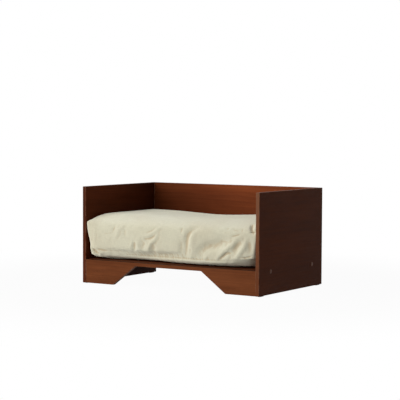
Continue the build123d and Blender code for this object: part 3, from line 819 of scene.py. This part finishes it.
# The folds' heights added along the normals
def addFolds(mesh, gain):
    points, normals = readRows(mesh.vertices, "co", 3), readRows(mesh.vertices, "normal", 3)
    y = points[:, 1]
    facing = smoothstep(-normals[:, 1], *foldArea["facing"]) * (y < 0)
    atNotch = np.prod([smoothstep(row, *span) for row, span in zip(points.T, foldArea["notch"])], axis=0)
    share = np.maximum.reduce([facing, smoothstep(y, *foldArea["front"]), atNotch])
    near = np.flatnonzero(share)
    height = sum(foldHeight(points[near][:, ::2], fold) for fold in folds)
    points[near] += normals[near] * (gain * height * share[near])[:, None]
    writePoints(mesh, points)


# The cloth blown up for some frames. A point is drawn back to its place by its weight, and it stays near it
def blowUp(piece, weights):
    before = readRows(piece.data.vertices, "co", 3)
    group = piece.vertex_groups.new(name="hold")
    steps = np.round(weights, 2)
    for step in np.unique(steps):
        group.add(np.flatnonzero(steps == step).tolist(), float(step), "REPLACE")
    modifier = piece.modifiers.new("cloth", "CLOTH")
    values = modifier.settings
    values.use_pressure = True
    values.uniform_pressure_force = cloth["pressure"]
    values.shrink_min = -cloth["spare"]
    values.bending_stiffness = cloth["bending"]
    values.vertex_group_mass = "hold"
    values.effector_weights.gravity = 0
    modifier.collision_settings.use_self_collision = False
    modifier.point_cache.frame_end = cloth["frames"]
    for number in range(1, cloth["frames"] + 1):
        scene.frame_set(number)
    after = piece.evaluated_get(bpy.context.evaluated_depsgraph_get())
    move = readRows(after.data.vertices, "co", 3) - before
    piece.modifiers.remove(modifier)
    piece.vertex_groups.remove(group)
    scene.frame_set(1)
    far, farthest = np.linalg.norm(move, axis=1)[:, None], cloth["farthest"]
    share = farthest * np.tanh(far / farthest) / np.maximum(far, 1e-9)  # which never divides by nought
    writePoints(piece.data, before + move * share)


# The modifiers made real, in a new mesh
def applyModifiers(piece):
    after = piece.evaluated_get(bpy.context.evaluated_depsgraph_get())
    mesh = bpy.data.meshes.new_from_object(after)
    mesh.name = piece.name
    piece.modifiers.clear()
    piece.data = mesh
    return mesh


# The seam round the cover's foot, as heights along the front. It ends at the zip on the other sides
seam = {
    "x": (-0.386, -0.33, -0.19, -0.04, 0.06, 0.26, 0.33, 0.386),
    "z": (0.130, 0.121, 0.120, 0.120, 0.122, 0.123, 0.129, 0.142),
    "side": (-0.235, -0.15),  # from where to where, front to back, it takes the zip's height
    "level": (0.95, 0.6),  # it comes in between these shares of facing up or down
    "groove": {"width": 0.0036, "depth": 0.0015, "waves": 0.35},
    "lip": {"below": 2.2, "height": 0.0026},  # below by so many widths of the groove
    "pucker": {"length": 0.019, "height": 0.0012, "reach": 0.016},
    "beat": (0.37, 1),  # how the puckers' sine swells: by another, with this rate and shift
    "ripple": (1.9, 2, 0.4),  # one more sine: its rate, shift and share
    "faint": {"x": (-0.17, -0.26), "y": (-0.19, -0.21), "share": 0.85},  # at the front's left end
}
# The cloth beside the zip. Pairs are ranges, from where to where it goes flat and then opens
zipEdge = {
    "lean": 17.2,  # degrees
    "showing": 0.0065,  # how far from the zip's middle its tapes show
    "lip": 0.0010,  # how far the cloth's edge lies over the tapes, and how far its gap is sunk
    "sunk": 0.0028,
    "across": (0.032, 0.016),
    "beyond": (0.03, 0.006),
    "depth": (-0.05, -0.03),
    "gapAcross": (0.002, -0.0015),
    "gapBeyond": (0.001, -0.003),
}


def seamLevel(points):
    front = np.interp(points[:, 0], seam["x"], seam["z"])
    low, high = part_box("zip_tapes")
    return front + ((low.z + high.z) / 2 - front) * smoothstep(points[:, 1], *seam["side"])


# A groove along the seam, a lip of doubled cloth under it and short puckers across it. The groove and the
# lip are bells, and the puckers are waves, each the product and sum of sines along the seam
def addSeam(mesh):
    points, normals = readRows(mesh.vertices, "co", 3), readRows(mesh.vertices, "normal", 3)
    groove, lip, pucker, faint = (seam[key] for key in ("groove", "lip", "pucker", "faint"))
    beat, beatShift = seam["beat"]
    ripple, rippleShift, rippleShare = seam["ripple"]
    level = points[:, 2] - seamLevel(points)
    inWidths = level / groove["width"]
    upright = smoothstep(np.abs(normals[:, 2]), *seam["level"])
    clear = 1 - faint["share"] * smoothstep(points[:, 0], *faint["x"]) * smoothstep(points[:, 1], *faint["y"])
    along = (points[:, 0] - points[:, 1]) * 2 * pi / pucker["length"]
    beats = np.sin(along) * np.sin(along * beat + beatShift)
    wave = beats + rippleShare * np.sin(along * ripple + rippleShift)
    sunk = groove["depth"] * (1 + groove["waves"] * wave) * bell(inWidths)
    raised = lip["height"] * bell(inWidths + lip["below"])
    puckered = pucker["height"] * wave * bell(level / pucker["reach"])
    points += normals * ((raised + (puckered - sunk) * clear) * upright)[:, None]
    writePoints(mesh, points)
    writeAttribute(mesh, "seam", level)


# The cloth beside the zip brought flat, its edge folded over the tapes and its gap sunk under them
def openForZip(points):
    low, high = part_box("zip_tapes")
    lean = radians(zipEdge["lean"])
    outward = np.array((0, cos(lean), -sin(lean)))
    offset = points - np.array((low + high) / 2)
    depth = offset @ outward
    across = np.abs(offset @ np.array((0, sin(lean), cos(lean))))
    beyond = np.abs(offset[:, 0]) - (high.x - low.x) / 2
    near = smoothstep(across, *zipEdge["across"]) * smoothstep(beyond, *zipEdge["beyond"])
    near *= smoothstep(depth, *zipEdge["depth"])
    gap = smoothstep(across - zipEdge["showing"], *zipEdge["gapAcross"])
    gap *= smoothstep(beyond, *zipEdge["gapBeyond"])
    target = zipEdge["lip"] - (zipEdge["lip"] + zipEdge["sunk"]) * gap
    return points + (near * (target - depth))[:, None] * outward


# How hollow the cloth is, for the canvas's painted shade: how far the middle of the places around a point
# lies outside it
def addHollows(mesh, points, edges):
    normals = readRows(mesh.vertices, "normal", 3)
    around = relax(points, edges, np.full(len(points), 0.5), canvas["hollowRounds"])
    writeAttribute(mesh, "hollow", ((around - points) * normals).sum(1))


def meshPiece(name, points, faces, material, body):
    mesh = bpy.data.meshes.new(name)
    mesh.from_pydata(points.tolist(), [], list(faces))
    mesh.polygons.foreach_set("use_smooth", np.ones(len(mesh.polygons), bool))
    mesh.materials.append(material)
    piece = addObject(name, mesh)
    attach(piece, body)
    return piece


# A map of the cloth in metres: each face is laid flat along the axis that it looks along
def clothMap(mesh, facing):
    corners = readRows(mesh.loops, "vertex_index", 1, int)[:, 0]
    places = readRows(mesh.vertices, "co", 3)[corners]
    kept = np.array([(1, 2), (0, 2), (0, 1)])[np.repeat(facing, 4)]
    flat = np.take_along_axis(places, kept, 1)
    layer = mesh.uv_layers.new(name="cloth")
    layer.uv.foreach_set("vector", flat.astype(np.float32).ravel())


canvas = {
    "shader": {"Roughness": 0.92, "Diffuse Roughness": 1.0, "Specular IOR Level": 0.15, "Sheen Weight": 0.12},
    "colour": (0.67, 0.64, 0.51),
    "pitch": 0.0011,
    "blotches": (7.0, 3.0, 0.55),
    "range": (0.3, 0.7),
    "tints": ((0.97, 0.012), (1.03, -0.01)),
    "hollowRounds": 5,  # of finding the middle of the places around
    "hollowShadeShare": (0.0, 0.0007, 0.0, 0.6),  # how dark a hollow is painted for its depth, as painted shade
    "hollowShadeTint": (0.66, 0.20),
    "slubShade": (0.35, 0.65, 0.93, 1.05),
    "stitch": {"width": 0.0006, "length": 0.0036, "above": 0.0055, "gap": (-0.6, -0.2), "share": 0.6,
               "tint": (1.12,), "relief": 2.0},
    "slubRelief": 0.8,
    "relief": 0.00012,
}


# Cream canvas: crossing threads, faint blotches, painted shade that makes the hollows darker and warmer, and
# a row of stitches by the seam
def creamCanvas():
    material, tree, shader, place = newMaterial("cream_canvas", canvas["shader"])
    onCloth = addNode(tree, "ShaderNodeUVMap", uv_map="cloth").outputs[0]
    threads = useGroup(tree, weave, {"Place": onCloth, "Pitch": canvas["pitch"]})
    base = canvas["colour"]
    colour = mottle(tree, noise(tree, place, *canvas["blotches"]), canvas["range"], base, *canvas["tints"])
    # painted shade: the hollows of the cloth darker and warmer
    hollow = smoothRange(tree, readAttribute(tree, "hollow"), *canvas["hollowShadeShare"])
    colour = mixColour(tree, hollow, colour, tint(base, *canvas["hollowShadeTint"]))
    colour = shadeBy(tree, colour, smoothRange(tree, threads["Slub"], *canvas["slubShade"]))
    stitch = canvas["stitch"]
    above = calc(tree, "SUBTRACT", readAttribute(tree, "seam"), stitch["above"])
    inRow = smoothRange(tree, calc(tree, "ABSOLUTE", above), stitch["width"] / 2, stitch["width"], 1.0, 0.0)
    turn = calc(tree, "SINE", calc(tree, "MULTIPLY", split(tree, onCloth)[0], 2 * pi / stitch["length"]))
    stitches = calc(tree, "MULTIPLY", inRow, smoothRange(tree, turn, *stitch["gap"]))
    colour = overlay(tree, colour, stitches, stitch["share"], tint(base, *stitch["tint"]))
    height = calc(tree, "MULTIPLY_ADD", threads["Slub"], canvas["slubRelief"], threads["Height"])
    height = calc(tree, "MULTIPLY_ADD", stitches, stitch["relief"], height)
    wire(tree, shader, Base_Color=colour, Normal=bump(tree, height, canvas["relief"]))
    return material


def makeCushion():
    low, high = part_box("cushion_cover")
    counts = [round((high[axis] - low[axis]) / cushion["cell"]) for axis in range(3)]
    unit, faces, facing = unitBox(counts)
    points = cushionForm(unit, low, high)
    piece = meshPiece("seat_cushion", points, faces, creamCanvas(), "cushion")
    clothMap(piece.data, facing)
    back, level = unit[:, 1], unit[:, 2]
    base = level == -1
    edges = readRows(piece.data.edges, "vertices", 2, int)
    fromEnd, lowShare = high.x - np.abs(points[:, 0]), cushion["lowShare"]
    rounding = cushion["roundShare"] * smoothstep(fromEnd, *cushion["endFade"]) * ~base
    rounding *= lowShare + (1 - lowShare) * smoothstep(level, *cushion["lowTop"])
    writePoints(piece.data, relax(points, edges, rounding, cushion["edgeRounds"]))
    addFolds(piece.data, cloth["foldsBefore"])
    onTop, atZip = (
        smoothstep(level, *heights) * smoothstep(back, *depths)
        for heights, depths in (cloth["topArea"], cloth["zipArea"])
    )
    hold = cloth["hold"] + (cloth["topHold"] - cloth["hold"]) * onTop
    blowUp(piece, np.where(base, 1, np.maximum(hold, cloth["zipHold"] * atZip)))
    smoother = piece.modifiers.new("smooth", "SUBSURF")
    smoother.levels = smoother.render_levels = 1
    mesh = applyModifiers(piece)
    addFolds(mesh, cloth["foldsAfter"])
    addSeam(mesh)
    points = openForZip(readRows(mesh.vertices, "co", 3))
    tuck = cushion["tuck"]
    lower = tuck["lower"] * bell((points[:, 0] - tuck["place"]) / tuck["reach"])
    under = smoothstep(points[:, 2] - low.z + lower, *tuck["heights"])
    points[:, 1] += tuck["depth"] * under * smoothstep(points[:, 1], *tuck["from"])
    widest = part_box("right_side_panel")[0].x - cushion["clearance"]
    points[:, 0] = np.clip(points[:, 0], -widest, widest)
    points[:, 2] = np.maximum(points[:, 2], low.z)
    writePoints(mesh, points)
    addHollows(mesh, points, readRows(mesh.edges, "vertices", 2, int))
    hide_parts("cushion_cover", "cushion_core")
    return piece


makeCushion()
print("cushion made")

# Zip: twill tapes and nylon coil
tape = {
    "shader": {"Roughness": 0.9, "Specular IOR Level": 0.15},
    "ribs": 0.0012,
    "slant": 1.6,
    "tints": ((0.9,), (1.06,)),
    "relief": 0.00008,
}
nylon = {
    "shader": {"Roughness": 0.45},
    "streaks": (3000.0, 400.0, 400.0),
    "range": (0.35, 0.65),
    "tints": ((0.95,), (1.1,)),
    "hollowShadeShare": (0.3, 1.0, 0.0, 0.7),
    "hollowShadeTint": (0.45, 0.08),
    "relief": 0.00003,
}
coil = {
    "pitch": 0.0018,
    "steps": 6,  # in each turn
    "around": 16,
    "square": (0.55, 0.75),  # how square its section is, across and outwards
    "between": 0.34,  # how far it draws in between two turns
    "sideShare": 0.25,  # of that, at its sides
    "slant": 0.35,
    "middle": {"width": 0.00035, "depth": 0.35},
}


def zipTape():
    material, tree, shader, place = newMaterial("zip_tape", tape["shader"])
    x, _, z = split(tree, place)[:3]
    along = calc(tree, "MULTIPLY_ADD", z, tape["slant"], x)
    ribs = calc(tree, "SINE", calc(tree, "MULTIPLY", along, 2 * pi / tape["ribs"]))
    colour = mottle(tree, ribs, (-1, 1), slotColours["zip_tape"], *tape["tints"])
    wire(tree, shader, Base_Color=colour, Normal=bump(tree, ribs, tape["relief"]))
    return material


def zipNylon():
    material, tree, shader, place = newMaterial("zip_coil", nylon["shader"])
    drawn = streaks(tree, place, nylon["streaks"])
    base = slotColours["zip_coil"]
    colour = mottle(tree, drawn, nylon["range"], base, *nylon["tints"])
    # painted shade: darker where the coil draws in between its turns
    hollow = smoothRange(tree, readAttribute(tree, "depth"), *nylon["hollowShadeShare"])
    colour = mixColour(tree, hollow, colour, tint(base, *nylon["hollowShadeTint"]))
    wire(tree, shader, Base_Color=colour, Normal=bump(tree, drawn, nylon["relief"]))
    return material


# A closed tube along the zip. Its section is a flattened ring, cosine and sine to small powers. It draws in
# between the turns, which lean back on both sides of the middle, and along the middle, where the rows meet
def makeCoil():
    low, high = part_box("zip_chain")
    centre, lean = np.array((low + high) / 2), radians(zipEdge["lean"])
    upward, outward = np.array((0, sin(lean), cos(lean))), np.array((0, cos(lean), -sin(lean)))
    size = high - low
    # the box of a leaning bar, solved for the bar's own width and height
    width = (size.z * cos(lean) - size.y * sin(lean)) / cos(2 * lean)
    depth = (size.y * cos(lean) - size.z * sin(lean)) / cos(2 * lean)
    rings = round(size.x / coil["pitch"] * coil["steps"])
    turns = np.arange(coil["around"]) * 2 * pi / coil["around"]
    x, turn = np.meshgrid(np.linspace(low.x, high.x, rings + 1), turns, indexing="ij")
    across, out = (
        np.sign(wave) * np.abs(wave) ** power * half
        for wave, power, half in zip((np.cos(turn), np.sin(turn)), coil["square"], (width / 2, depth / 2))
    )
    phase = (x + coil["slant"] * np.abs(across)) * pi / coil["pitch"]
    middle = coil["middle"]
    drawn = coil["between"] * (1 - np.sqrt(np.abs(np.sin(phase))))
    drawn = drawn + middle["depth"] * bell(across / middle["width"]) * (out > 0)
    out = out * (1 - drawn)
    across = across * (1 - drawn * coil["sideShare"])
    points = centre + across[..., None] * upward + out[..., None] * outward
    points[..., 0] = x
    index = np.arange(points.size // 3).reshape(x.shape)
    beside = np.roll(index, -1, axis=1)
    faces = np.stack([index[:-1], index[1:], beside[1:], beside[:-1]], -1).reshape(-1, 4).tolist()
    faces += [index[0].tolist(), index[-1][::-1].tolist()]
    piece = meshPiece("zip_coil", points.reshape(-1, 3), faces, zipNylon(), "cushion")
    # how far it draws in, for the nylon's painted shade
    writeAttribute(piece.data, "depth", drawn.ravel() / coil["between"])
    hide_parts("zip_chain")


finishSlot("zip_tape", zipTape())
makeCoil()
print("zip finished")

# Stage: a pale floor, a white surround and soft studio light
stage = {
    "floorSize": 12.0,
    "floorTone": (0.38, 0.378, 0.37, 1),
    "whiteShare": (0.7, 1.6, 0.96, 1.0),  # two distances, and how white the camera sees the floor there
    "surround": (0.97, 0.99, 1.0, 1),
    "sky": (0.90, 1.08, 1.30, 1),
    "skyRange": (0.1, 0.9),
    "surroundLevel": 0.18,
    "key": {
        "towards": (-0.32, -0.835, 0.445),
        "distance": 4.5,
        "size": 4.4,
        "level": 1.29,
        "colour": (1.0, 0.985, 0.955),
    },
}


# Where the camera, a mirror or clear glass looks, as one mask
def seenDirectly(tree):
    path = addNode(tree, "ShaderNodeLightPath").outputs
    mirrored = calc(tree, "MAXIMUM", path["Is Glossy Ray"], path["Is Transmission Ray"])
    return calc(tree, "MAXIMUM", path["Is Camera Ray"], mirrored)


def makeSurround():
    world = bpy.data.worlds.new("surround")
    scene.world = world
    world.use_nodes = True
    tree = world.node_tree
    tree.nodes.clear()
    up = split(tree, addNode(tree, "ShaderNodeTexCoord").outputs["Generated"])[2]
    light = mixColour(tree, smoothRange(tree, up, *stage["skyRange"]), stage["surround"], stage["sky"])
    ambient = addNode(tree, "ShaderNodeBackground", {0: light, 1: stage["surroundLevel"]}).outputs[0]
    white = addNode(tree, "ShaderNodeBackground", {0: (1, 1, 1, 1), 1: 1.0}).outputs[0]
    mixed = addNode(tree, "ShaderNodeMixShader", {0: seenDirectly(tree), 1: ambient, 2: white}).outputs[0]
    addNode(tree, "ShaderNodeOutputWorld", {0: mixed})


def makeFloor():
    half = stage["floorSize"] / 2
    mesh = bpy.data.meshes.new("floor")
    corners = [(-half, -half, 0), (half, -half, 0), (half, half, 0), (-half, half, 0)]
    mesh.from_pydata(corners, [], [(0, 1, 2, 3)])
    floor = addObject("floor", mesh)
    material = bpy.data.materials.new("floor")
    material.use_nodes = True
    tree = material.node_tree
    tree.nodes.clear()
    place = addNode(tree, "ShaderNodeTexCoord").outputs["Object"]
    share = smoothRange(tree, vectorCalc(tree, "LENGTH", place), *stage["whiteShare"])
    matt = addNode(tree, "ShaderNodeBsdfDiffuse", {0: stage["floorTone"]}).outputs[0]
    white = addNode(tree, "ShaderNodeEmission", {0: (1, 1, 1, 1), 1: 1.0}).outputs[0]
    factor = calc(tree, "MULTIPLY", share, seenDirectly(tree))
    mixed = addNode(tree, "ShaderNodeMixShader", {0: factor, 1: matt, 2: white}).outputs[0]
    addNode(tree, "ShaderNodeOutputMaterial", {0: mixed})
    mesh.materials.append(material)


# A soft box. Its power gives a white surface that faces it a brightness of level
def makeKeyLight():
    key = stage["key"]
    light = bpy.data.lights.new("key", "AREA")
    light.size = key["size"]
    light.energy = key["level"] * pi**2 * key["distance"] ** 2
    light.color = key["colour"]
    lamp = addObject("key", light)
    towards = Vector(key["towards"]).normalized()
    lamp.location = towards * key["distance"]
    lamp.rotation_euler = towards.to_track_quat("Z", "Y").to_euler()


makeSurround()
makeFloor()
makeKeyLight()
print("stage lit")
